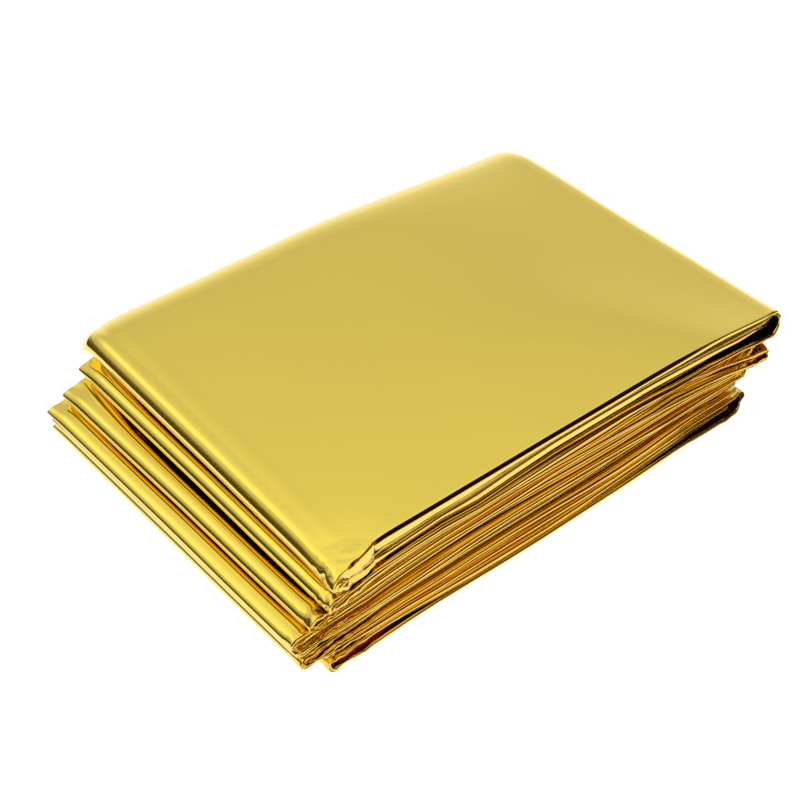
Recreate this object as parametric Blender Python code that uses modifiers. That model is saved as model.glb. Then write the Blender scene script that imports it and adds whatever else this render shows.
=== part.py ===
"""Emergency foil blanket, folded into its packet.

One sheet of metallised film is pleated across its width into a narrow strip, and the strip lies back
and forth on itself in sixteen layers. Its two ends are tucked in: one inside the tall loop at the top
right, the other inside the tall loop at the bottom right. The lower layers have slid to the left.
"""

from collections import namedtuple
from math import cos, pi, sin

import bmesh
import bpy

MM = 0.001

# The packet, in millimetres: X along the layers, Y along the folds, depth downwards from the top.
LENGTH = 120.0
WIDTH = 86.0
HEIGHT = 26.5
LAYERS = 16
THICKNESS = 1.0
EDGE_ROUNDING = 0.32

# A layer keeps its own level over the middle of the packet and eases to its folds at both ends.
LEFT_EASE = (4.0, 34.0)
RIGHT_EASE = (76.0, 104.0)
EASE_STEPS = 4
TURN_STEPS = 6
# Where the strip's width is divided, from its front edge. The first steps carry the front corner flap.
WIDTH_STEPS = (0.0, 4.0, 9.0, 16.0, 50.0, WIDTH)
FLAP_LENGTH = 16.0

# The packet is puffed up: its top stands this much over its folds, steeply at the front left corner
# and in a low tent along the back. It falls towards the right, and the lowest layer lies flat.
PUFF = 3.0
PUFF_FRONT = (-1.0, 10.0)
PUFF_BACK = (-1.0, 24.0)
PUFF_FALL = (62.0, 124.0)
PUFF_KEPT = 0.15

# The lower layers bulge forwards over the middle of the packet.
BULGE = 1.0

# The folds and the two free ends, in the order in which the strip runs through them. A free end is as
# tall as the strip is thick.
# side: -1 at the left end, +1 at the right end; way: +1 where the strip goes on downwards, -1 upwards
# front, back: how far it stands out past the packet's end, at its front and at its back
# depth, tall: depth of its middle and its outer height
# inset, trim: how far in its front end and its back end lie
# flap, droop: how much further the front corner sticks out, and how far it hangs
Fold = namedtuple("Fold", "name side way front back depth tall inset trim flap droop")
STRIP = (
    Fold("top free end", +1, +1, -1.3, -0.7, 2.9, THICKNESS, 0.6, 0.4, 0.0, 0.0),
    Fold("top roll", -1, -1, 1.7, 1.2, 1.85, 3.7, 0.0, 0.0, 0.0, 0.0),
    Fold("top loop", +1, +1, 3.0, 2.6, 3.2, 6.4, 0.0, 0.0, 0.0, 0.0),
    Fold("second roll", -1, +1, 1.9, 3.4, 5.65, 3.3, 0.0, 1.5, 0.0, 0.0),
    Fold("corner flap", +1, +1, -7.5, -5.0, 8.0, 2.5, 0.0, 0.5, 8.5, 1.3),
    Fold("third roll", -1, +1, 5.2, 8.3, 9.8, 3.0, 1.2, 2.0, 0.0, 0.0),
    Fold("upper end fold", +1, +1, -10.5, -5.5, 11.2, 2.3, 0.8, 1.0, 0.0, 0.0),
    Fold("fourth roll", -1, +1, 9.8, 12.8, 12.9, 2.6, 2.6, 0.8, 0.0, 0.0),
    Fold("middle end fold", +1, +1, -5.5, -4.0, 13.8, 2.3, 0.6, 0.4, 0.0, 0.0),
    Fold("thin lip", -1, +1, 8.2, 12.2, 15.65, 2.3, 1.5, 1.5, 0.0, 0.0),
    Fold("lower end fold", +1, +1, -8.0, -6.0, 16.4, 2.3, 1.0, 0.8, 0.0, 0.0),
    Fold("fifth roll", -1, +1, 7.3, 11.7, 18.4, 2.6, 0.8, 0.8, 0.0, 0.0),
    Fold("last end fold", +1, +1, -6.5, -4.0, 19.0, 2.3, 1.2, 1.0, 0.0, 0.0),
    Fold("tucked fold", -1, +1, 2.6, 10.4, 21.1, 2.3, 1.8, 1.6, 0.0, 0.0),
    Fold("bottom loop", +1, +1, -2.2, -1.5, 23.5, 6.0, 1.6, 0.6, 0.0, 0.0),
    Fold("bottom roll", -1, -1, 1.6, 9.7, 24.6, 3.8, 1.3, 1.0, 0.0, 0.0),
    Fold("bottom free end", +1, +1, -7.5, -4.5, 23.3, THICKNESS, 1.8, 1.0, 0.0, 0.0),
)

GOLD = (0.83, 0.60, 0.13, 1.0)


def ease(x, start, end):
    """Rises smoothly from 0 at start to 1 at end."""
    t = min(max((x - start) / (end - start), 0.0), 1.0)
    return t * t * (3.0 - 2.0 * t)


def between(low, high, share):
    return low + (high - low) * share


def layer_levels():
    """The depth of each layer over the middle of the packet, in the order in which the strip runs."""
    pitch = (HEIGHT - THICKNESS) / (LAYERS - 1)
    levels = [THICKNESS / 2 + pitch * rank for rank in range(LAYERS)]
    # The strip starts in the second layer and ends in the last but one.
    levels[0], levels[1] = levels[1], levels[0]
    levels[-1], levels[-2] = levels[-2], levels[-1]
    return levels


def rank_share(depth):
    """0 at the top layer's depth and 1 at the lowest one's."""
    return (depth - THICKNESS / 2) / (HEIGHT - THICKNESS)


def across(inset, trim, y):
    """Where a point of the strip's width lies, between a front inset and a back one."""
    return inset + y * (WIDTH - inset - trim) / WIDTH


def puffed(x, y, depth):
    """Lifts a point with the puffed packet: fully at its top, and not at all in its lowest layer."""
    share = y / WIDTH
    start = between(PUFF_FRONT[0], PUFF_BACK[0], share)
    full = between(PUFF_FRONT[1], PUFF_BACK[1], share)
    fall = (1.0 - PUFF_KEPT) * ease(x, *PUFF_FALL)
    lift = PUFF * ease(x, start, full) * (1.0 - fall)
    return depth - lift * (1.0 - rank_share(depth))


def turn_radius(fold):
    """Radius of a fold, to the middle of the strip's thickness. A free end has none."""
    return (fold.tall - THICKNESS) / 2


def turn_centre_x(fold, y):
    """Where the middle of a fold's curve lies. Its front corner may stick out as a flap."""
    out = between(fold.front, fold.back, y / WIDTH)
    out += fold.flap * (1.0 - ease(y, 0.0, FLAP_LENGTH))
    end = LENGTH if fold.side > 0 else 0.0
    return end + fold.side * (out - THICKNESS / 2 - turn_radius(fold))


def turn_point(fold, angle, y):
    """A point of a fold, at an angle from where the strip enters it (0) to where it leaves it (pi)."""
    radius = turn_radius(fold)
    x = turn_centre_x(fold, y) + fold.side * radius * sin(angle)
    hang = fold.droop * (1.0 - ease(y, 0.0, FLAP_LENGTH))
    return x, across(fold.inset, fold.trim, y), fold.depth - fold.way * radius * cos(angle) + hang


def turn_points(fold, y):
    """A fold's points, in the order in which the strip runs. A free end has a single one."""
    steps = TURN_STEPS if turn_radius(fold) > 0.0 else 0
    return [turn_point(fold, pi * n / TURN_STEPS, y) for n in range(steps + 1)]


def layer_point(number, level, x, y):
    """A point of a layer at x, eased between its own level and the depths of its two ends."""
    before, after = STRIP[number], STRIP[number + 1]
    entry = before.depth + before.way * turn_radius(before)
    leave = after.depth - after.way * turn_radius(after)
    ends = ((before, entry), (after, leave))
    # The first layer runs to the left, the next to the right, and so on.
    (left, left_depth), (right, right_depth) = ends[::-1] if number % 2 == 0 else ends
    to_left = (left_depth - level) * (1.0 - ease(x, *LEFT_EASE))
    to_right = (right_depth - level) * ease(x, *RIGHT_EASE)
    share = min(max(x / LENGTH, 0.0), 1.0)
    bulge = BULGE * rank_share(level) * sin(pi * share)
    inset = between(left.inset, right.inset, share) - bulge
    trim = between(left.trim, right.trim, share)
    return x, across(inset, trim, y), level + to_left + to_right


def layer_row(number, level, y):
    """The points of one layer at y, between its two ends, in the order in which the strip runs."""
    steps = [between(*LEFT_EASE, n / EASE_STEPS) for n in range(EASE_STEPS + 1)]
    steps += [between(*RIGHT_EASE, n / EASE_STEPS) for n in range(EASE_STEPS + 1)]
    points = [layer_point(number, level, x, y) for x in steps]
    return points[::-1] if number % 2 == 0 else points


def strip_line(y):
    """The whole strip at one place across its width, from its top free end to its bottom one."""
    line = turn_points(STRIP[0], y)
    for number, level in enumerate(layer_levels()):
        line += layer_row(number, level, y)
        line += turn_points(STRIP[number + 1], y)
    return [(x, place, puffed(x, y, depth)) for x, place, depth in line]


def strip_mesh():
    """The strip as an open surface, centred over the origin with its lowest layer's underside at 0."""
    lines = [strip_line(y) for y in WIDTH_STEPS]
    every = [point for line in lines for point in line]
    middle_x = (min(p[0] for p in every) + max(p[0] for p in every)) / 2
    middle_y = (min(p[1] for p in every) + max(p[1] for p in every)) / 2
    bm = bmesh.new()
    rows = []
    for line in lines:
        places = [(x - middle_x, y - middle_y, HEIGHT - depth) for x, y, depth in line]
        rows.append([bm.verts.new([MM * value for value in place]) for place in places])
    for front, back in zip(rows, rows[1:]):
        for n in range(len(front) - 1):
            bm.faces.new((front[n], front[n + 1], back[n + 1], back[n]))
    mesh = bpy.data.meshes.new("folded_film")
    bm.to_mesh(mesh)
    bm.free()
    return mesh


def gold_film():
    material = bpy.data.materials.new("gold_film")
    material.use_nodes = True
    shader = material.node_tree.nodes["Principled BSDF"]
    shader.inputs["Base Color"].default_value = GOLD
    shader.inputs["Metallic"].default_value = 1.0
    shader.inputs["Roughness"].default_value = 0.22
    return material


def build():
    for obj in list(bpy.data.objects):
        bpy.data.objects.remove(obj, do_unlink=True)
    collection = bpy.data.collections.new("emergency_foil_blanket")
    bpy.context.scene.collection.children.link(collection)

    mesh = strip_mesh()
    mesh.materials.append(gold_film())
    mesh.shade_smooth()
    packet = bpy.data.objects.new("folded_film", mesh)
    collection.objects.link(packet)

    solid = packet.modifiers.new("thickness", "SOLIDIFY")
    solid.thickness = THICKNESS * MM
    solid.offset = 0.0
    solid.use_even_offset = True

    rounding = packet.modifiers.new("rounded edges", "BEVEL")
    rounding.width = EDGE_ROUNDING * MM
    rounding.segments = 2
    rounding.limit_method = "ANGLE"
    rounding.angle_limit = pi / 3


build()
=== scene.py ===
"""Emergency foil blanket: one sheet of gold metallised film, pleated and folded into its packet."""

from collections import namedtuple
from math import cos, pi, sin

import bpy
import numpy as np
from mathutils import Matrix, Vector


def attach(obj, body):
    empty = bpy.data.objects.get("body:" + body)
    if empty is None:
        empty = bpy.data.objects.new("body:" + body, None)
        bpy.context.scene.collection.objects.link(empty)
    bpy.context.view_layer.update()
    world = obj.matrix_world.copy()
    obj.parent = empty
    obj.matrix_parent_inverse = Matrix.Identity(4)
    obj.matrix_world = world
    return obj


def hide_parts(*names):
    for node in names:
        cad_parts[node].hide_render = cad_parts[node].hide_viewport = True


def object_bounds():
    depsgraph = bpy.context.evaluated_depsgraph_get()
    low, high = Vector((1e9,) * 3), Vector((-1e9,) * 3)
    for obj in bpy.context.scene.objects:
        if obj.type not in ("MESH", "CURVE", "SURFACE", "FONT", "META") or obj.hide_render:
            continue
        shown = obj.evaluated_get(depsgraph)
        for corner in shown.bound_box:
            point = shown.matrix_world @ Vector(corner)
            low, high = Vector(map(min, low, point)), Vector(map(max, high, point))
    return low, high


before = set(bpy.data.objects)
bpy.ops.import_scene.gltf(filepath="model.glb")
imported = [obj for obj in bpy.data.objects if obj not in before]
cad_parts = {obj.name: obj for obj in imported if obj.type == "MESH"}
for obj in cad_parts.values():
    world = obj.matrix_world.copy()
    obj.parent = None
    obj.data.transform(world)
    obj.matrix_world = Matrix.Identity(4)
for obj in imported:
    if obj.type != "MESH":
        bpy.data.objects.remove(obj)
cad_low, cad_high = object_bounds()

# The blanket is one sheet of polyester film, 1.6 m by 2.1 m, with a metal coat. It is first pleated
# across its width into a strip of eighteen plies, and the strip is then laid back and forth in sixteen
# layers. Nothing holds it: the pleats' edges spring open a little along the front and the back.
PLIES = 18
LAYERS = 16

# The packet, in millimetres: x along the layers, y from its front to its back, depth downwards. A layer
# is loose over the packet's middle and pressed at its folds, and both are given as half a thickness.
MM = 0.001
LENGTH = 120.0
WIDTH = 86.0
HEIGHT = 26.5
LOOSE = 0.74
PRESSED = 0.50
PITCH = (HEIGHT - 2.0 * PRESSED) / (LAYERS - 1)

# The folds and the free ends, as the strip runs through them, in millimetres. Depths and heights are the
# pressed packet's: the puff stretches them.
# side: -1 left, +1 right; way: +1 where the strip goes on downwards, -1 upwards
# front, back: how far it stands out past the packet's end, at its front and at its back
# depth: of its outermost line; up, down: how far it reaches above and below that line
# reach: how far in its curve starts
# inset, trim: how far in its front end and its back end lie
# flap, droop: how much further the front corner sticks out, and how far it hangs
Fold = namedtuple("Fold", "name side way front back depth up down reach inset trim flap droop")
STRIP = (
    Fold("top free end", +1, +1, -1.3, -0.7, 2.9, 0.5, 0.5, 0.5, 0.6, 0.4, 0.0, 0.0),
    Fold("top roll", -1, -1, 1.2, 2.3, 3.2, 3.15, 2.0, 3.2, 0.0, 0.0, 0.0, 0.0),
    Fold("top loop", +1, +1, 3.0, 2.6, 3.2, 3.2, 3.2, 3.2, 0.0, 0.0, 0.0, 0.0),
    Fold("second roll", -1, +1, 2.3, 4.6, 8.1, 2.0, 1.3, 2.0, 0.0, 1.5, 0.0, 0.0),
    Fold("corner flap", +1, +1, -7.5, -5.0, 8.0, 1.25, 1.25, 1.25, 0.0, 0.5, 8.5, 1.3),
    Fold("third roll", -1, +1, 5.5, 9.4, 12.0, 2.0, 1.05, 2.15, 1.2, 2.0, 0.0, 0.0),
    Fold("upper end fold", +1, +1, -10.5, -5.5, 11.2, 1.15, 1.15, 1.15, 0.8, 1.0, 0.0, 0.0),
    Fold("fourth roll", -1, +1, 9.0, 13.0, 15.2, 1.7, 0.65, 2.6, 2.6, 0.8, 0.0, 0.0),
    Fold("middle end fold", +1, +1, -5.5, -4.0, 13.8, 1.15, 1.15, 1.15, 0.6, 0.4, 0.0, 0.0),
    Fold("thin lip", -1, +1, 8.4, 12.5, 16.95, 1.1, 0.9, 1.1, 1.5, 1.5, 0.0, 0.0),
    Fold("lower end fold", +1, +1, -8.0, -6.0, 16.4, 1.15, 1.15, 1.15, 1.0, 0.8, 0.0, 0.0),
    Fold("fifth roll", -1, +1, 8.0, 12.4, 19.3, 1.2, 1.1, 1.3, 0.8, 0.8, 0.0, 0.0),
    Fold("last end fold", +1, +1, -6.5, -4.0, 19.0, 1.15, 1.15, 1.15, 1.2, 1.0, 0.0, 0.0),
    Fold("tucked fold", -1, +1, 2.6, 10.4, 21.6, 1.0, 1.0, 1.1, 1.8, 1.6, 0.0, 0.0),
    Fold("bottom loop", +1, +1, -2.2, -1.5, 23.5, 3.0, 3.0, 3.0, 1.6, 0.6, 0.0, 0.0),
    Fold("bottom roll", -1, -1, 1.6, 9.7, 24.7, 1.9, 1.7, 1.8, 1.3, 1.0, 0.0, 0.0),
    Fold("bottom free end", +1, +1, -7.5, -4.5, 23.3, 0.5, 0.5, 0.5, 1.8, 1.0, 0.0, 0.0),
)

# How the pleats' edges lie along the packet's front, a row for each layer as the strip runs.
# share: how much of the layer's height the first ply's edge takes; the last ply's edge takes the rest
# first_in, last_in: how far back the two edges lie; sway: how much they wander along the packet
# lean: how far an edge's foot lies behind its top
Edge = namedtuple("Edge", "share first_in last_in sway lean")
EDGES = (
    Edge(0.06, 1.8, 1.4, 0.10, 0.10),
    Edge(0.90, 1.8, 2.0, 0.08, 0.10),
    Edge(0.10, 1.6, 0.6, 0.30, 1.20),
    Edge(0.90, 1.3, 1.7, 0.40, 0.50),
    Edge(0.12, 1.4, 0.2, 0.30, 0.20),
    Edge(0.90, 2.5, 2.8, 0.40, 1.00),
    Edge(0.10, 1.6, 0.5, 0.40, 1.20),
    Edge(0.88, 1.0, 2.0, 0.30, 1.00),
    Edge(0.15, 1.2, 0.6, 0.40, 0.40),
    Edge(0.85, 0.8, 1.9, 0.40, 0.60),
    Edge(0.20, 1.9, 1.8, 0.40, 1.40),
    Edge(0.90, 0.5, 1.6, 0.40, 1.20),
    Edge(0.10, 2.0, 2.3, 0.40, 1.00),
    Edge(0.90, 0.6, 1.9, 0.30, 0.50),
    Edge(0.12, 1.6, 0.5, 0.30, 1.00),
    Edge(0.70, 0.8, 0.9, 0.30, 0.60),
)
TOP_LAYER = 1

# A layer keeps its own level over the packet's middle and eases to its folds at both ends.
LEFT_EASE = (4.0, 58.0)
LEFT_CURVE = 1.5
RIGHT_EASE = (76.0, 104.0)

# A flap's corner hangs, and its last few millimetres are bent down further. Both start in the layer.
FLAP_LENGTH = 16.0
FLAP_HANGS = (88.0, 112.0)
BENT = 1.8
BENT_LENGTH = (-1.0, 4.5)
BENT_HANGS = (106.0, 113.0)

# A roll below the top one is flatter at its back end. Behind its bead the strip's two runs close up to
# a neck, though not at the front and the back ends of the roll.
PINCH = 0.55
PINCH_FROM = (79.0, WIDTH + 1.0)
PINCH_LENGTH = 3.0
NECK = 0.52
NECK_LENGTH = 6.5
NECK_SPANS = ((2.0, 11.0), (60.0, 78.0))

# The packet is puffed up: its top stands this much higher than pressed. The puff falls off to the right,
# and it falls sooner and further at the middle and the back (the second values) than along the front.
PUFF = 3.0
PUFF_FALLS = (98.0, 60.0)
PUFF_END = 124.0
PUFF_LOST = (0.70, 0.85)


def ease(x, start, end):
    """Rises smoothly from 0 at start to 1 at end."""
    share = np.clip((x - start) / (end - start), 0.0, 1.0)
    return share * share * (3.0 - 2.0 * share)


def fade(x, start, end):
    """Falls smoothly from 1 at start to 0 at end."""
    return 1.0 - ease(x, start, end)


def within(x, rises, falls):
    """1 between two spans, easing up through the first and down through the second."""
    return ease(x, *rises) * fade(x, *falls)


def between(low, high, share):
    return low + (high - low) * share


def rank_share(depth):
    """0 at the top layer's own level and 1 at the lowest one's."""
    return (depth - PRESSED) / (HEIGHT - 2.0 * PRESSED)


def layer_level(number):
    """A layer's own depth. The strip starts in the second layer and ends in the last but one."""
    ranks = [1, 0, *range(2, LAYERS - 2), LAYERS - 1, LAYERS - 2]
    return PRESSED + PITCH * ranks[number]


def is_lower_roll(fold):
    return fold.side < 0 and fold.name != "top roll"


def loop_height(fold, upper):
    """How far the strip's middle line reaches above or below a fold's outermost line."""
    return (fold.up if upper else fold.down) - PRESSED


def centre_x(fold, y):
    """Where a fold's curve starts. Its front corner may stick out as a flap."""
    out = between(fold.front, fold.back, y / WIDTH) + fold.flap * fade(y, 0.0, FLAP_LENGTH)
    end = LENGTH if fold.side > 0 else 0.0
    return end + fold.side * (out - fold.reach)


def pinched(fold, y):
    """What the pinch at a roll's back end leaves of its height."""
    flatter = PINCH if is_lower_roll(fold) else 0.0
    return 1.0 - flatter * ease(y, *PINCH_FROM)


def fold_line(fold, angle, y):
    """Place, depth and side normal of the strip's middle line in a fold, at an angle from its start."""
    tall = loop_height(fold, fold.way * cos(angle) > 0.0)
    reach = fold.reach - PRESSED
    x = centre_x(fold, y) + fold.side * reach * sin(angle)
    depth = fold.depth - fold.way * tall * cos(angle) * pinched(fold, y)
    depth = depth + fold.droop * (fade(y, 0.0, FLAP_LENGTH) + BENT * fade(y, *BENT_LENGTH))
    size = ((tall * sin(angle)) ** 2 + (reach * cos(angle)) ** 2) ** 0.5
    normal = (0.0, fold.side * 1.0)
    if size > 0.0:
        normal = (fold.way * tall * sin(angle) / size, fold.side * reach * cos(angle) / size)
    return x, depth, normal


def run_depth(fold, x, y, upper):
    """Depth of the strip's upper or lower run behind a fold: level with its loop, then closed up."""
    loop = loop_height(fold, upper)
    if is_lower_roll(fold):
        inward = x - centre_x(fold, y)
        neck = between(loop, min(NECK, loop), within(y, *NECK_SPANS))
        loop = between(loop, neck, ease(inward, 0.0, NECK_LENGTH))
        loop = loop * between(pinched(fold, y), 1.0, ease(inward, 0.0, PINCH_LENGTH))
    return fold.depth - loop if upper else fold.depth + loop


def level_depth(number, x, y):
    """Depth of a layer's middle line, eased between its own level and the runs behind its two folds."""
    before, after = STRIP[number], STRIP[number + 1]
    entry = run_depth(before, x, y, before.way < 0)
    leave = run_depth(after, x, y, after.way > 0)
    left, right = (leave, entry) if number % 2 == 0 else (entry, leave)
    level = layer_level(number)
    start, end = LEFT_EASE
    near_left = 1.0 - np.clip((x - start) / (end - start), 0.0, 1.0)
    depth = level + (left - level) * near_left ** LEFT_CURVE + (right - level) * ease(x, *RIGHT_EASE)
    for fold in (before, after):
        depth = depth + fold.droop * fade(y, 0.0, FLAP_LENGTH) * ease(x, *FLAP_HANGS)
        depth = depth + fold.droop * BENT * fade(y, *BENT_LENGTH) * ease(x, *BENT_HANGS)
    return depth


def puffed(x, y, depth):
    """Lifts a depth with the puffed packet: fully at its top, and not at all in its lowest layer."""
    inner = np.clip(2.0 * y / WIDTH, 0.0, 1.0)
    fallen = ease(x, between(*PUFF_FALLS, inner), PUFF_END)
    lift = PUFF * (1.0 - between(*PUFF_LOST, inner) * fallen)
    return depth - lift * (1.0 - rank_share(depth))


# The waves that wander adds up: each one's strength, and how fast it turns with the places and the seed.
WAVES = ((1.0, 0.9, 1.3, 1.0), (1.0, 1.7, -2.1, 2.3), (0.7, 2.9, 3.7, 4.1))


def wander(along, across, seed):
    """A smooth, uneven value between -1 and 1 that changes slowly with its two places."""
    waves = [strength * np.sin(a * along + b * across + c * seed) for strength, a, b, c in WAVES]
    return sum(waves) / sum(wave[0] for wave in WAVES)


# A ply's edge is a nose: a round shoulder on its outer side, a face that leans back, and a round foot.
# The top layer's is creased instead: a slanting strip that goes in this much for each millimetre down.
SHOULDER_ANGLES = [pi / 2 * (1.0 - n / 6) for n in range(7)]
FOOT_ANGLES = [-pi / 2 * n / 4 for n in range(5)]
FOOT_SHARE = 0.9
FOOT_STRETCH = 1.5
FACE_LEAN = 0.4
CREASE_SLOPE = 1.28
CREASE_SOFT = 0.06
CREASE_END = (0.05, 0.08)
# Its points: over the strip, along it as shares, down the face as (in, share), and round the foot.
CREASE_TOP = ((0.12, 0.0), (0.05, -0.02))
CREASE_SHARES = (0.0, 0.12, 0.5, 0.88, 1.0)
CREASE_FACE = ((0.0, 0.0), (0.03, 0.5), (0.08, 0.85))
CREASE_FOOT = ((0.14, 0.06), (0.24, 0.02), (0.40, 0.0))
Nose = namedtuple("Nose", "share first_in last_in lean shoulder foot crease")
BACK_NOSE = Nose(share=0.8, first_in=0.2, last_in=0.6, lean=0.3, shoulder=0.6, foot=0.4, crease=0.0)
LEAST_TALL = 0.04


def round_nose(tall, shoulder, foot, lean):
    """(distance behind the tip, height over its middle) along a nose, from its outer side inwards."""
    foot = min(foot, tall * FOOT_SHARE)
    bend = min(shoulder, 2 * tall - foot)
    low = foot - tall
    points = [(bend * (1.0 - cos(a)), tall - bend + bend * sin(a)) for a in SHOULDER_ANGLES]
    points += [(lean * FACE_LEAN, (tall - bend + low) / 2)]
    points += [(lean + FOOT_STRETCH * foot * (1.0 - cos(a)), low + foot * sin(a)) for a in FOOT_ANGLES]
    return points


def creased_nose(tall, drop):
    """A nose whose shoulder is creased to a slanting strip, with as many points as a round one."""
    start_in, start_up = CREASE_SLOPE * drop, tall - CREASE_SOFT
    end_in, end_up = CREASE_END[0], start_up - drop
    face = end_up - CREASE_END[1]
    points = [(start_in + inwards, tall + up) for inwards, up in CREASE_TOP]
    points += [(between(start_in, end_in, n), between(start_up, end_up, n)) for n in CREASE_SHARES]
    points += [(inwards, between(face, -tall, share)) for inwards, share in CREASE_FACE]
    return points + [(inwards, up - tall) for inwards, up in CREASE_FOOT]


# Between its outermost plies the strip's others fill this share of its height, and their turns lie
# hidden this far in, in steps. The plies leave their slots for their turns over the spread.
INNER_FILL = 0.66
HIDDEN_IN = 5.0
HIDDEN_STEP = 0.9
HIDDEN_POINTS = 3
SPREAD = 3.5
# Where a ply is divided, from its front turn to its back one: the outermost ones most, at their turns.
OUTER_STEPS = (0.0, 0.006, 0.015, 0.03, 0.045, 0.06, 0.085, 0.12, 0.17, 0.25, 0.35, 0.48, 0.61, 0.74)
OUTER_STEPS += (0.84, 0.905, 0.935, 0.958, 0.976, 0.99, 1.0)
INNER_STEPS = (0.0, 0.045, 0.5, 0.955, 1.0)


def pleat_turn(ply, slots, edge, first, last):
    """The turn from a ply down to the next one, as (in, height) points: a nose at the first and last."""
    if first:
        tall = max(slots[0] * edge.share, LEAST_TALL)
        points = round_nose(tall, edge.shoulder, edge.foot, edge.lean)
        if edge.crease > 0.0:
            points = creased_nose(tall, edge.crease)
        return [(edge.first_in + inwards, slots[0] - tall + up) for inwards, up in points]
    if last:
        tall = max(slots[0] * (1.0 - edge.share), LEAST_TALL)
        points = round_nose(tall, edge.shoulder, edge.foot, edge.lean)[::-1]
        return [(edge.last_in + inwards, tall - slots[0] - up) for inwards, up in points]
    middle = (slots[ply] + slots[ply + 1]) / 2
    radius = (slots[ply] - slots[ply + 1]) / 2
    recess = HIDDEN_IN + HIDDEN_STEP * ((ply * 7) % 5)
    angles = [pi / 2 - pi * n / (HIDDEN_POINTS - 1) for n in range(HIDDEN_POINTS)]
    return [(recess + radius * (1.0 - cos(a)), middle + radius * sin(a)) for a in angles]


def ply_line(ply, slot, near, far):
    """A ply from its front turn to its back one, as (y, height) points, in its slot between them."""
    steps = np.array(OUTER_STEPS if ply in (0, PLIES - 1) else INNER_STEPS)
    start, end = near[0], WIDTH - far[0]
    y = between(start, end, steps)
    height = slot + (near[1] - slot) * fade(y, start, start + SPREAD)
    height = height + (far[1] - slot) * ease(y, end - SPREAD, end)
    return list(zip(y, height))


def section(half, front_nose, back_nose):
    """The pleated strip's section, as (y, height) points from the first ply's back edge to the last's."""
    inner = [INNER_FILL * half * (1.0 - 2.0 * n / (PLIES - 1)) for n in range(1, PLIES - 1)]
    slots = [half, *inner, -half]
    turns = {}
    for ply in range(0, PLIES, 2):
        turns[ply] = pleat_turn(ply, slots, front_nose, ply == 0, ply == PLIES - 2)
    for ply in range(1, PLIES - 1, 2):
        turns[ply] = pleat_turn(ply, slots, back_nose, ply == 1, ply == PLIES - 3)
    # the sheet's own two edges lie at the back, one in the first ply and one in the last
    turns[-1], turns[PLIES - 1] = [(0.0, half)], [(0.0, -half)]
    points = []
    for ply in range(PLIES):
        if ply % 2 == 0:
            points += ply_line(ply, slots[ply], turns[ply][0], turns[ply - 1][-1])[::-1]
            points += turns[ply][1:-1]
        else:
            points += ply_line(ply, slots[ply], turns[ply - 1][-1], turns[ply][0])
            points += [(WIDTH - inwards, height) for inwards, height in turns[ply][1:-1]]
    points = np.array(points)
    return points[:, 0], points[:, 1]


# How the edges' values wander: over how many millimetres, how fast from layer to layer, and the seed.
FIRST_WANDER = (21.0, 1.7, 2.0)
LAST_WANDER = (17.0, 2.3, 7.0)
SHARE_WANDER = (24.0, 1.1, 4.0)
SHARE_SWAY = 0.10
SHARE_LIMITS = (0.04, 0.96)
# At the left end they are drawn forwards, to this share of how far in they lie.
DRAWN_SPAN = (-1.0, 12.0)
DRAWN_SHARE = 0.12


def edge_at(number, x):
    """A layer's edge at one place along the packet: its share, how far in it lies, and its lean."""
    def wandered(length, step, seed):
        return float(wander(x / length, step * number, seed))

    edge = EDGES[number]
    share = np.clip(edge.share + SHARE_SWAY * wandered(*SHARE_WANDER), *SHARE_LIMITS)
    drawn = between(DRAWN_SHARE, 1.0, float(ease(x, *DRAWN_SPAN)))
    first_in = max(edge.first_in + edge.sway * wandered(*FIRST_WANDER), 0.0) * drawn
    last_in = max(edge.last_in + edge.sway * wandered(*LAST_WANDER), 0.0) * drawn
    return float(share), first_in, last_in, edge.lean * drawn


# Where the lines across the strip lie: inwards from a fold at its left and its right, between those at
# places along the packet, closer along the top layer's left, and round each fold in equal turns.
LEFT_STEPS = (0.7, 1.5, 2.4, 3.4, 4.5, 5.6, 6.8)
RIGHT_STEPS = (4.0, 2.0)
RIGHT_GAP = 5.5
PLACES = (9.0, 13.0, 18.0, 25.0, 34.0, 44.0, 54.0, 64.0, 74.0, 82.0, 88.0, 94.0, 99.0, 104.0, 109.0)
TOP_PLACES = (*np.arange(9.0, 27.0, 1.2), *np.arange(27.0, 80.0, 5.3), *PLACES[-6:])
ROLL_TURNS = 14
LOOP_TURNS = 8
END_TURNS = 5
LOOP_UP = 2.0


def film_rows():
    """(kind, layer or fold, place) of each line across the strip, as it runs from its top free end."""
    rows = []
    for number in range(LAYERS):
        before, after = STRIP[number], STRIP[number + 1]
        right = after if after.side > 0 else before
        limit = min(centre_x(right, 0.0), centre_x(right, WIDTH)) - RIGHT_GAP
        places = TOP_PLACES if number == TOP_LAYER else PLACES
        line = [("left", number, inwards) for inwards in LEFT_STEPS]
        line += [("middle", number, x) for x in places if x < limit]
        line += [("right", number, inwards) for inwards in RIGHT_STEPS]
        rows += line[::-1] if number % 2 == 0 else line
        if number + 1 < LAYERS:
            turns = ROLL_TURNS if after.side < 0 else LOOP_TURNS if after.up > LOOP_UP else END_TURNS
            rows += [("fold", number + 1, pi * n / turns) for n in range(turns + 1)]
    return [("fold", 0, 0.0), *rows, ("fold", LAYERS, 0.0)]


# The front ends of the top two rolls are crushed shut: the strip's inner side moves in over their gap.
CRUSHED = ("top roll", "second roll")
CRUSHED_LENGTH = (1.0, 7.0)
CRUSHED_LEFT = 0.55
# The top roll's two runs close up too. The upper one takes this share of the gap at the roll itself.
UPPER_SHARE = 0.64
UPPER_SHARE_SPAN = (3.0, 15.0)
RUNS_LEFT = 0.04


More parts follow.
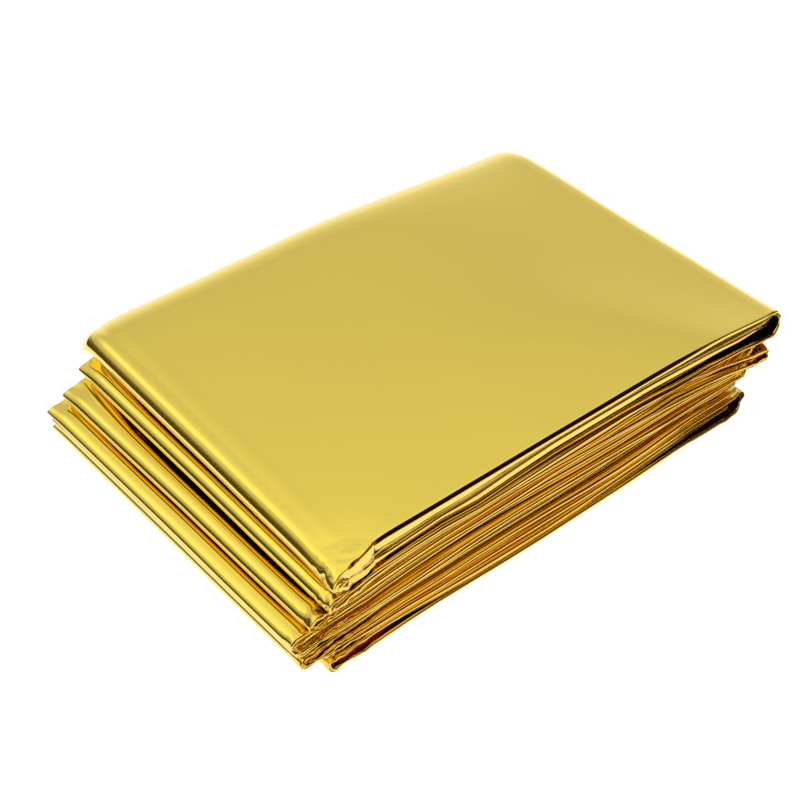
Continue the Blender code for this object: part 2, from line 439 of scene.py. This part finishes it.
def closed_end(y, offset, outer, gap):
    """The section's heights in a roll's curve, with its inner side moved in at the roll's front end."""
    closed = 1.0 + fade(y, *CRUSHED_LENGTH) * np.maximum(gap - CRUSHED_LEFT, 0.0) / PRESSED
    return np.where(offset * outer < 0.0, offset * closed, offset)


def closed_runs(x, y, offset, outer, half):
    """The section's heights in the top two layers, closed up on each other along the front."""
    apart = level_depth(0, x, y) - level_depth(1, x, y)
    upper = between(UPPER_SHARE, 1.0 - np.clip(half / apart, 0.0, 0.5), ease(x, *UPPER_SHARE_SPAN))
    reach = (apart - RUNS_LEFT) * (upper if outer > 0.0 else 1.0 - upper)
    closed = 1.0 + fade(y, *CRUSHED_LENGTH) * (np.maximum(reach / half, 1.0) - 1.0)
    return np.where(offset < 0.0, offset * closed, offset)


# The strip is loose between these spans, and thinnest in the neck behind a roll.
LOOSE_SPANS = ((6.0, 20.0), (96.0, 108.0))
NECK_HALF = 0.40
NECK_THINS = (0.5, 4.0)
# The front noses' shoulder and foot, in the layers and in the folds.
LAYER_ROUNDING = (0.50, 0.60)
FOLD_ROUNDING = (0.60, 0.40)
# The crease along the top layer's front drops less towards the right.
CREASE_DROP = (0.46, 0.10)
CREASE_FADES = (86.0, 106.0)
# The lower layers bulge forwards over the packet's middle.
BULGE = 1.0
# A layer's slope is taken between two places this far to each side.
SLOPE_STEP = 0.05


def layer_line(kind, number, where):
    """A line across a layer: its place, the section's y, its depth, and its front and back insets."""
    before, after = STRIP[number], STRIP[number + 1]
    left, right = (after, before) if number % 2 == 0 else (before, after)
    outer = -1.0 if number % 2 == 0 else 1.0
    near = LENGTH - where if kind == "right" else where
    half = between(PRESSED, LOOSE, float(within(near, *LOOSE_SPANS)))
    if kind == "left":
        half = between(PRESSED, NECK_HALF, float(ease(where, *NECK_THINS)))
    drop = between(*CREASE_DROP, float(ease(near, *CREASE_FADES))) if number == TOP_LAYER else 0.0
    y, offset = section(half, Nose(*edge_at(number, near), *LAYER_ROUNDING, drop), BACK_NOSE)
    x = np.full(len(y), where)
    if kind != "middle":
        fold = left if kind == "left" else right
        x = centre_x(fold, y) - fold.side * where
    rank = rank_share(layer_level(number))
    depth = level_depth(number, x, y) + (half - PRESSED) * (1.0 - 2.0 * rank)
    if left.name == "top roll":
        offset = closed_runs(x, y, offset, outer, half)
    elif kind == "left" and left.name in CRUSHED:
        upper = left.way * outer < 0.0
        gap = np.abs(run_depth(left, x, y, upper) - left.depth)
        offset = closed_end(y, offset, outer if upper else -outer, gap)
    rise = level_depth(number, x - SLOPE_STEP, y) - level_depth(number, x + SLOPE_STEP, y)
    slope = rise / (2.0 * SLOPE_STEP)
    size = (slope * slope + 1.0) ** 0.5
    share = np.clip(x / LENGTH, 0.0, 1.0)
    inset = between(left.inset, right.inset, share) - BULGE * rank * np.sin(pi * share)
    trim = between(left.trim, right.trim, share)
    return x - offset * outer * slope / size, y, depth - offset * outer / size, inset, trim


def turn_line(number, angle):
    """A line across a fold or a free end, with the same values as a layer's."""
    fold = STRIP[number]
    near = 0.0 if fold.side < 0 else LENGTH
    ends = zip(edge_at(max(number - 1, 0), near), edge_at(min(number, LAYERS - 1), near))
    edge = [between(before, after, angle / pi) for before, after in ends]
    y, offset = section(PRESSED, Nose(*edge, *FOLD_ROUNDING, 0.0), BACK_NOSE)
    x, depth, (along, up) = fold_line(fold, angle, y)
    if fold.name in CRUSHED:
        gap = ((x - centre_x(fold, y)) ** 2 + (depth - fold.depth) ** 2) ** 0.5
        offset = closed_end(y, offset, -fold.way, gap)
    return x + offset * along, y, depth - offset * up, fold.inset, fold.trim


# The layers bulge out backwards between these spans, by less at the left and in the lower layers.
SWELL_SPANS = ((-6.0, 9.0), (117.0, 124.0))
SWELL = (2.3, 3.6)
SWELL_GROWS = (10.0, 60.0)
SWELL_LOST = 0.5
SWELL_FROM = 70.0
# How far in the front's unevenness reaches, and the depths (as rank shares) between which it is full.
# It wanders in place and in depth: how far, over how many millimetres along and down, and the seed.
FRONT_LENGTH = (0.0, 9.0)
INNER_RANKS = ((0.06, 0.2), (0.93, 1.0))
PLACE_WANDER = (0.30, 26.0, 1.9, 1.0)
DEPTH_WANDER = (0.25, 42.0, 2.2, 5.0)
# The second layer's edge springs open by this much, over these places and depths. At the far end
# (the second values) it opens less and the layers below it are pushed down less far.
FAR_END = (78.0, 98.0)
SPRUNG = (1.35, 1.10)
SPRUNG_SPANS = ((22.0, 36.0), (108.0, 118.0))
SPRUNG_TOP = (1.5, 3.0)
SPRUNG_FULL = (4.4, 3.7)
SPRUNG_END = (10.5, 5.7)
# The film rounds over along the top's back edge.
ROUNDED_LENGTH = 8.0
ROUNDED_DROP = 3.2
ROUNDED_RANKS = (0.0, 0.3)
# The top roll's front end is pressed down to a tip.
TIP_DROP = 1.4
TIP_LENGTH = (-3.0, 15.0)
TIP_WIDTH = (-2.0, 13.0)
TIP_DEPTHS = (-3.0, 4.5)
# A shallow trough (drop, place, width) and a low ridge run along behind the top roll.
TROUGHS = ((0.13, 2.1, 1.0), (-0.07, 4.7, 1.3))
TROUGH_RANKS = (0.0, 0.1)
# Where the film is crumpled: at the rolls' front ends, less wide below the top one, at the right ends
# under the top layer, and a little along the front. The painted reflection that deepens the gold between
# close plies lies only at the very front.
CORNER_LENGTH = (0.0, 13.0)
CORNER_START = 1.0
CORNER_WIDTHS = (9.0, 6.0)
CORNER_RANKS = (0.0, 0.2)
ENDS_LENGTH = (100.0, 116.0)
ENDS_WIDTH = (2.0, 10.0)
ENDS_RANKS = (0.08, 0.2)
ENDS_CRUSH = 0.5
FRONT_CRUSH = 0.12
# how far in from the front the painted reflection between the plies reaches
PAINTED_REFLECTION_WIDTH = (1.0, 6.0)


def rounded_over(y):
    """How far a quarter circle has fallen, as a share, over the last millimetres before the back."""
    share = np.clip((y - (WIDTH - ROUNDED_LENGTH)) / ROUNDED_LENGTH, 0.0, 1.0)
    return 1.0 - (1.0 - share ** 2) ** 0.5


def uneven(x, depth, far, length, height, seed):
    return far * wander(x / length, depth / height, seed)


def shaped(x, y, depth, inset, trim):
    """A line's points as they lie in the packet, how crumpled the film is, and how strongly a painted
    reflection deepens its gold where its plies lie close.
    """
    place = inset + y * (WIDTH - inset - trim) / WIDTH
    across = np.clip(place, 0.0, WIDTH)
    swell = within(x, *SWELL_SPANS) * (1.0 - SWELL_LOST * rank_share(depth))
    place = place + swell * between(*SWELL, ease(x, *SWELL_GROWS)) * ease(place, SWELL_FROM, WIDTH)

    front = fade(across, *FRONT_LENGTH)
    far = ease(x, *FAR_END)
    lower = (between(*SPRUNG_FULL, far), between(*SPRUNG_END, far))
    sprung = within(depth, SPRUNG_TOP, lower) * within(x, *SPRUNG_SPANS)
    depth = depth + between(*SPRUNG, far) * sprung * front
    rank = rank_share(depth)
    inner = within(rank, *INNER_RANKS)
    place = place + uneven(x, depth, *PLACE_WANDER) * front * inner
    depth = depth + uneven(x, depth, *DEPTH_WANDER) * front * inner

    depth = puffed(x, across, depth)
    depth = depth + ROUNDED_DROP * rounded_over(y) * fade(rank, *ROUNDED_RANKS)
    tip = fade(x, *TIP_LENGTH) * fade(across, *TIP_WIDTH)
    start, end = TIP_DEPTHS
    depth = depth + TIP_DROP * tip * np.clip((end - depth) / (end - start), 0.0, 1.0)
    for drop, middle, wide in TROUGHS:
        depth = depth + drop * np.exp(-((x - middle) / wide) ** 2) * fade(rank, *TROUGH_RANKS)

    corner_width = between(*CORNER_WIDTHS, ease(rank, *CORNER_RANKS))
    corner = fade(x, *CORNER_LENGTH) * fade(across, CORNER_START, corner_width)
    ends = ease(x, *ENDS_LENGTH) * fade(across, *ENDS_WIDTH) * ease(rank, *ENDS_RANKS)
    crushed = np.maximum(corner, ENDS_CRUSH * ends) + FRONT_CRUSH * front * inner
    return np.stack([x, place, -depth], axis=1), crushed, inner * fade(across, *PAINTED_REFLECTION_WIDTH)


lines = []
for kind, number, where in film_rows():
    line = turn_line(number, where) if kind == "fold" else layer_line(kind, number, where)
    lines.append(shaped(*line))
grid, crushed, painted_ply_reflection = [np.array(values) for values in zip(*lines)]

# the leftmost fold lies at the frame's left end, and the strip's width is centred
leftmost = min(-max(fold.front, fold.back) for fold in STRIP if fold.side < 0)
points = (grid + [cad_low.x / MM - leftmost, -WIDTH / 2, HEIGHT]).reshape(-1, 3) * MM
rows, columns = grid.shape[:2]
first = (np.arange(rows - 1)[:, None] * columns + np.arange(columns - 1)).reshape(-1)
faces = np.stack([first, first + 1, first + columns + 1, first + columns], axis=1)

mesh = bpy.data.meshes.new("gold_film")
mesh.vertices.add(len(points))
mesh.vertices.foreach_set("co", points.ravel())
mesh.loops.add(faces.size)
mesh.loops.foreach_set("vertex_index", faces.ravel())
mesh.polygons.add(len(faces))
mesh.polygons.foreach_set("loop_start", np.arange(0, faces.size, 4))
mesh.update(calc_edges=True)
mesh.validate()
mesh.attributes.new("crush", "FLOAT", "POINT").data.foreach_set("value", crushed.ravel())
# the mask of the painted reflection: where the plies lie close along the front, the gold is painted
# deeper
mesh.attributes.new("painted_ply_reflection", "FLOAT", "POINT").data.foreach_set("value", painted_ply_reflection.ravel())
mesh.shade_smooth()
film = bpy.data.objects.new("gold_film", mesh)
bpy.context.scene.collection.objects.link(film)

# The metal coat is even under a clear one, but the film is never quite flat: it ripples. Where its plies
# lie close on each other along the front a deeper gold is painted on, a painted reflection of the plies
# mirroring each other, and where it is crushed it is finely crinkled.
GOLD = (0.91, 0.69, 0.065, 1.0)
# painted reflection: a deeper gold that stands in for the plies mirroring each other
PAINTED_REFLECTION_GOLD = (0.92, 0.61, 0.045, 1.0)
FINISH = {"Metallic": 1.0, "Coat Weight": 1.0, "Coat Roughness": 0.04, "Coat IOR": 1.5}
ROUGHNESS = (0.045, 0.095)
RIPPLE_STRENGTH = 0.5
RIPPLE_HEIGHT = 0.00004
CRINKLE_FROM = 0.2
CRINKLE_HEIGHT = 0.0008
# Each pattern's noise has a scale and a detail.
ROUGHNESS_NOISE = (45.0, 3.0)
RIPPLE_NOISE = (140.0, 2.0)
CRINKLE_NOISE = (340.0, 1.5)


def calculated(tree, operation, *values):
    """A number worked out in a node tree from numbers and sockets."""
    node = tree.nodes.new("ShaderNodeMath")
    node.operation = operation
    for socket, value in zip(node.inputs, values):
        if isinstance(value, (int, float)):
            socket.default_value = value
        else:
            tree.links.new(value, socket)
    return node.outputs[0]


def mixed(tree, factor, first, second):
    """The first colour where the factor is 0, blending to the second where it is 1."""
    node = tree.nodes.new("ShaderNodeMix")
    node.data_type = "RGBA"
    tree.links.new(factor, node.inputs["Factor"])
    for socket, colour in ((node.inputs[6], first), (node.inputs[7], second)):
        if isinstance(colour, tuple):
            socket.default_value = colour
        else:
            tree.links.new(colour, socket)
    return node.outputs[2]


gold = bpy.data.materials.new("gold_film")
gold.use_nodes = True
paint = gold.node_tree
shader = paint.nodes["Principled BSDF"]
for name, value in FINISH.items():
    shader.inputs[name].default_value = value
on_film = paint.nodes.new("ShaderNodeTexCoord").outputs["Object"]


def film_noise(scale, detail):
    node = paint.nodes.new("ShaderNodeTexNoise")
    node.inputs["Scale"].default_value = scale
    node.inputs["Detail"].default_value = detail
    paint.links.new(on_film, node.inputs["Vector"])
    return node.outputs["Fac"]


def film_value(name):
    """One of the mesh's own values, as a socket."""
    node = paint.nodes.new("ShaderNodeAttribute")
    node.attribute_name = name
    return node.outputs["Fac"]


def film_bump(height, strength, distance):
    node = paint.nodes.new("ShaderNodeBump")
    node.inputs["Strength"].default_value = strength
    node.inputs["Distance"].default_value = distance
    paint.links.new(height, node.inputs["Height"])
    return node


# painted reflection: the gold turns deeper where the plies lie close, in place of the film mirroring
# itself
paint.links.new(mixed(paint, film_value("painted_ply_reflection"), GOLD, PAINTED_REFLECTION_GOLD), shader.inputs["Base Color"])
sheen = paint.nodes.new("ShaderNodeMapRange")
sheen.inputs["To Min"].default_value, sheen.inputs["To Max"].default_value = ROUGHNESS
paint.links.new(film_noise(*ROUGHNESS_NOISE), sheen.inputs["Value"])
paint.links.new(sheen.outputs["Result"], shader.inputs["Roughness"])
ripple = film_bump(film_noise(*RIPPLE_NOISE), RIPPLE_STRENGTH, RIPPLE_HEIGHT)
where_crushed = paint.nodes.new("ShaderNodeMapRange")
where_crushed.inputs["From Min"].default_value = CRINKLE_FROM
paint.links.new(film_value("crush"), where_crushed.inputs["Value"])
height = calculated(paint, "MULTIPLY", where_crushed.outputs["Result"], film_noise(*CRINKLE_NOISE))
crinkle = film_bump(height, 1.0, CRINKLE_HEIGHT)
paint.links.new(ripple.outputs["Normal"], crinkle.inputs["Normal"])
paint.links.new(crinkle.outputs["Normal"], shader.inputs["Normal"])


# The creases are fine and the slack is broad and smooth: the detail of each one's noise, and how far it
# goes each way as a share of its depth.
CREASE_DETAIL, CREASE_SHAPE = 2.5, (3.0, 3.0, 2.2)
SLACK_DETAIL, SLACK_SHAPE = 0.0, (2.0, 2.0, 3.0)


def film_tree():
    """Slack over the whole film and creases where it is crumpled, as offsets that its plies share."""
    tree = bpy.data.node_groups.new("film_slack", "GeometryNodeTree")
    tree.interface.new_socket("Geometry", in_out="INPUT", socket_type="NodeSocketGeometry")
    tree.interface.new_socket("Geometry", in_out="OUTPUT", socket_type="NodeSocketGeometry")
    for name in ("Crease Depth", "Crease Size", "Slack Depth", "Slack Size", "Seed"):
        tree.interface.new_socket(name, in_out="INPUT", socket_type="NodeSocketFloat")
    tree.interface.new_socket("Film", in_out="INPUT", socket_type="NodeSocketMaterial")
    nodes, links = tree.nodes, tree.links
    source = nodes.new("NodeGroupInput").outputs
    where = nodes.new("GeometryNodeInputPosition").outputs[0]

    def shift(size, depth, detail, shape):
        """A noise's offset, from minus to plus the depth, stretched by the shape."""
        noise = nodes.new("ShaderNodeTexNoise")
        noise.noise_dimensions = "4D"
        noise.inputs["Detail"].default_value = detail
        links.new(where, noise.inputs["Vector"])
        links.new(source["Seed"], noise.inputs["W"])
        links.new(calculated(tree, "DIVIDE", 1.0, size), noise.inputs["Scale"])
        centred = nodes.new("ShaderNodeVectorMath")
        centred.operation = "SUBTRACT"
        centred.inputs[1].default_value = (0.5, 0.5, 0.5)
        links.new(noise.outputs["Color"], centred.inputs[0])
        stretched = nodes.new("ShaderNodeVectorMath")
        stretched.operation = "MULTIPLY"
        stretched.inputs[1].default_value = shape
        links.new(centred.outputs[0], stretched.inputs[0])
        scaled = nodes.new("ShaderNodeVectorMath")
        scaled.operation = "SCALE"
        links.new(stretched.outputs[0], scaled.inputs[0])
        links.new(depth, scaled.inputs["Scale"])
        return scaled.outputs[0]

    crumpled = nodes.new("GeometryNodeInputNamedAttribute")
    crumpled.inputs["Name"].default_value = "crush"
    crease_depth = calculated(tree, "MULTIPLY", source["Crease Depth"], crumpled.outputs[0])
    crease = shift(source["Crease Size"], crease_depth, CREASE_DETAIL, CREASE_SHAPE)
    slack = shift(source["Slack Size"], source["Slack Depth"], SLACK_DETAIL, SLACK_SHAPE)
    both = nodes.new("ShaderNodeVectorMath")
    links.new(crease, both.inputs[0])
    links.new(slack, both.inputs[1])
    move = nodes.new("GeometryNodeSetPosition")
    links.new(source["Geometry"], move.inputs["Geometry"])
    links.new(both.outputs[0], move.inputs["Offset"])
    real = nodes.new("GeometryNodeRealizeInstances")
    links.new(move.outputs[0], real.inputs[0])
    coat = nodes.new("GeometryNodeSetMaterial")
    links.new(real.outputs[0], coat.inputs["Geometry"])
    links.new(source["Film"], coat.inputs["Material"])
    links.new(coat.outputs[0], nodes.new("NodeGroupOutput").inputs[0])
    return tree


FILM_SLACK = {
    "Crease Depth": 0.00062,
    "Crease Size": 0.0024,
    "Slack Depth": 0.00010,
    "Slack Size": 0.022,
    "Seed": 3.0,
    "Film": gold,
}
modifier = film.modifiers.new("film_slack", "NODES")
modifier.node_group = film_tree()
for item in modifier.node_group.interface.items_tree:
    if item.in_out == "INPUT" and item.name in FILM_SLACK:
        modifier[item.identifier] = FILM_SLACK[item.name]
film.update_tag()
graph = bpy.context.evaluated_depsgraph_get()
made = film.evaluated_get(graph)
mesh = bpy.data.meshes.new_from_object(made, preserve_all_data_layers=True, depsgraph=graph)
film.modifiers.remove(modifier)
film.data = mesh
# the lowest layer lies flat on the floor
for vertex in mesh.vertices:
    vertex.co.z = max(vertex.co.z, 0.0)

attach(film, "root")
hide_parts("folded_film")

# The floor is a wide pale sheet. It glows by itself, so that it is as white as the paper behind it and
# the film mirrors it brightly from below.
FLOOR_SIZE = 4.0
FLOOR_GREY = (0.2, 0.2, 0.2, 1.0)
FLOOR_ROUGHNESS = 0.9
FLOOR_GLOW = 0.95
bpy.ops.mesh.primitive_plane_add(size=FLOOR_SIZE, location=(0.0, 0.0, 0.0))
floor = bpy.context.object
floor.name = "floor"
pale = bpy.data.materials.new("pale_floor")
pale.use_nodes = True
floor_coat = pale.node_tree.nodes["Principled BSDF"].inputs
floor_coat["Base Color"].default_value = FLOOR_GREY
floor_coat["Roughness"].default_value = FLOOR_ROUGHNESS
floor_coat["Emission Color"].default_value = (1.0, 1.0, 1.0, 1.0)
floor_coat["Emission Strength"].default_value = FLOOR_GLOW
floor.data.materials.append(pale)

# Two dark sheets lie on the floor, one wide along the left and one small at the packet's right end.
# Only the film mirrors them: they draw the dark lines down its rolls and darken the folds' right ends.
CARD_BLACK = (0.02, 0.02, 0.02, 1.0)
CARD_GLOW = (0.08, 0.05, 0.01, 1.0)


def dark_card(name, place, size):
    """A dark sheet on the floor that casts no shadow and that the camera doesn't see."""
    bpy.ops.mesh.primitive_plane_add(size=1.0, location=place)
    card = bpy.context.object
    card.name = name
    card.scale = (*size, 1.0)
    card.visible_camera = False
    card.visible_shadow = False
    card.visible_diffuse = False
    black = bpy.data.materials.new(name)
    black.use_nodes = True
    coat = black.node_tree.nodes["Principled BSDF"].inputs
    coat["Base Color"].default_value = CARD_BLACK
    coat["Roughness"].default_value = 1.0
    coat["Specular IOR Level"].default_value = 0.0
    coat["Emission Color"].default_value = CARD_GLOW
    coat["Emission Strength"].default_value = 1.0
    card.data.materials.append(black)


dark_card("cloth_left", place=(-0.60, 0.40, 0.0003), size=(1.0, 1.6))
dark_card("card_right", place=(0.080, -0.039, 0.0003), size=(0.070, 0.042))

# A soft box high over the packet lights the floor evenly. The film doesn't mirror it, because a second
# bright shape would spoil the even sheen of its top.
SOFTBOX_PLACE = Vector((-0.3, 0.1, 1.3))
SOFTBOX_SIZE = 0.9
SOFTBOX_POWER = 1.9
softbox = bpy.data.lights.new("softbox_top", "AREA")
softbox.shape = "RECTANGLE"
softbox.size = SOFTBOX_SIZE
softbox.size_y = SOFTBOX_SIZE
softbox.energy = SOFTBOX_POWER
lamp = bpy.data.objects.new("softbox_top", softbox)
lamp.location = SOFTBOX_PLACE
lamp.rotation_mode = "QUATERNION"
lamp.rotation_quaternion = (-SOFTBOX_PLACE).to_track_quat("-Z", "Y")
lamp.visible_camera = False
lamp.visible_glossy = False
bpy.context.scene.collection.objects.link(lamp)

# The studio is what the film mirrors: pale at the right, dark low down along the left, and behind the
# camera a warm dark wall with a black strip over it. A wall is a row of (height, brightness) stops, from
# 0 at the horizon to 1 overhead.
WARM = (0.27, 0.09, 0.015)
BLACK = (0.01, 0.004, 0.0)
DUSK = (0.2, 0.12, 0.05)
WHITE = (1.05, 0.92, 0.9)
RIGHT_WALL = ((0.0, 1.05), (0.12, 1.05), (0.24, 0.80), (0.34, 0.66), (0.42, 0.69), (0.55, 0.85))
RIGHT_WALL += ((0.70, 1.0),)
LEFT_WALL = ((0.0, 0.03), (0.045, 0.15), (0.11, 0.50), (0.20, 0.62), (0.30, 0.80), (0.42, 1.32))
LEFT_WALL += ((0.56, 1.15), (0.70, 1.0))
FRONT_WALL = ((0.0, WARM), (0.22, WARM), (0.31, BLACK), (0.56, BLACK), (0.62, DUSK), (0.70, WHITE))
FRONT_WALL += ((0.90, 1.0),)
# Where the left and the front walls stand, as (share of the way round from +X, weight) stops.
LEFT_STANDS = ((0.0, 0.0), (0.24, 0.0), (0.32, 1.0), (1.0, 1.0))
FRONT_STANDS = ((0.0, 1.0), (0.02, 1.0), (0.07, 0.0), (0.52, 0.0), (0.60, 1.0), (1.0, 1.0))


def ramp(factor, stops):
    """A colour for each value of a factor, between (value, brightness or colour) stops."""
    node = sky.nodes.new("ShaderNodeValToRGB")
    band = node.color_ramp
    band.interpolation = "LINEAR"
    while len(band.elements) < len(stops):
        band.elements.new(0.5)
    for element, (place, tone) in zip(band.elements, stops):
        element.position = place
        element.color = (*tone, 1.0) if isinstance(tone, tuple) else (tone, tone, tone, 1.0)
    sky.links.new(factor, node.inputs[0])
    return node.outputs[0]


studio = bpy.data.worlds.new("studio")
studio.use_nodes = True
sky = studio.node_tree
direction = sky.nodes.new("ShaderNodeSeparateXYZ")
sky.links.new(sky.nodes.new("ShaderNodeTexCoord").outputs["Generated"], direction.inputs[0])
x, y, z = direction.outputs
height = calculated(sky, "DIVIDE", calculated(sky, "ARCSINE", z), pi / 2)
turn = calculated(sky, "DIVIDE", calculated(sky, "ARCTAN2", y, x), 2 * pi)
round_share = calculated(sky, "FRACT", calculated(sky, "ADD", turn, 1.0))
sides = mixed(sky, ramp(round_share, LEFT_STANDS), ramp(height, RIGHT_WALL), ramp(height, LEFT_WALL))
walls = mixed(sky, ramp(round_share, FRONT_STANDS), sides, ramp(height, FRONT_WALL))
# the camera itself sees plain white paper
seen = sky.nodes.new("ShaderNodeLightPath").outputs["Is Camera Ray"]
paper = mixed(sky, seen, walls, (1.0, 1.0, 1.0, 1.0))
sky.links.new(paper, sky.nodes["Background"].inputs["Color"])
bpy.context.scene.world = studio

# The camera stands at the packet's front left, close by and well above it, so its edges converge.
# Its place and its axes are in metres, and its lens and sensor in millimetres.
CAMERA_PLACE = Vector((-0.14858, -0.16934, 0.21296))
CAMERA_RIGHT = Vector((0.77524, -0.63139, 0.01896))
CAMERA_BACK = Vector((-0.47735, -0.56592, 0.67223))
LENS = 62.16
SENSOR = 36.0
camera = bpy.data.objects.new("camera", bpy.data.cameras.new("camera"))
camera.data.lens = LENS
camera.data.sensor_width = SENSOR
camera.data.clip_start = 0.01
bpy.context.scene.collection.objects.link(camera)
camera_up = CAMERA_BACK.cross(CAMERA_RIGHT)
axes = Matrix((CAMERA_RIGHT, camera_up, CAMERA_BACK)).transposed().to_4x4()
camera.matrix_world = Matrix.Translation(CAMERA_PLACE) @ axes
bpy.context.scene.camera = camera

# The plies mirror each other many times over, so light may bounce more often than it does by default.
bpy.context.scene.view_settings.view_transform = "Standard"
bpy.context.scene.cycles.max_bounces = 16
bpy.context.scene.cycles.glossy_bounces = 12
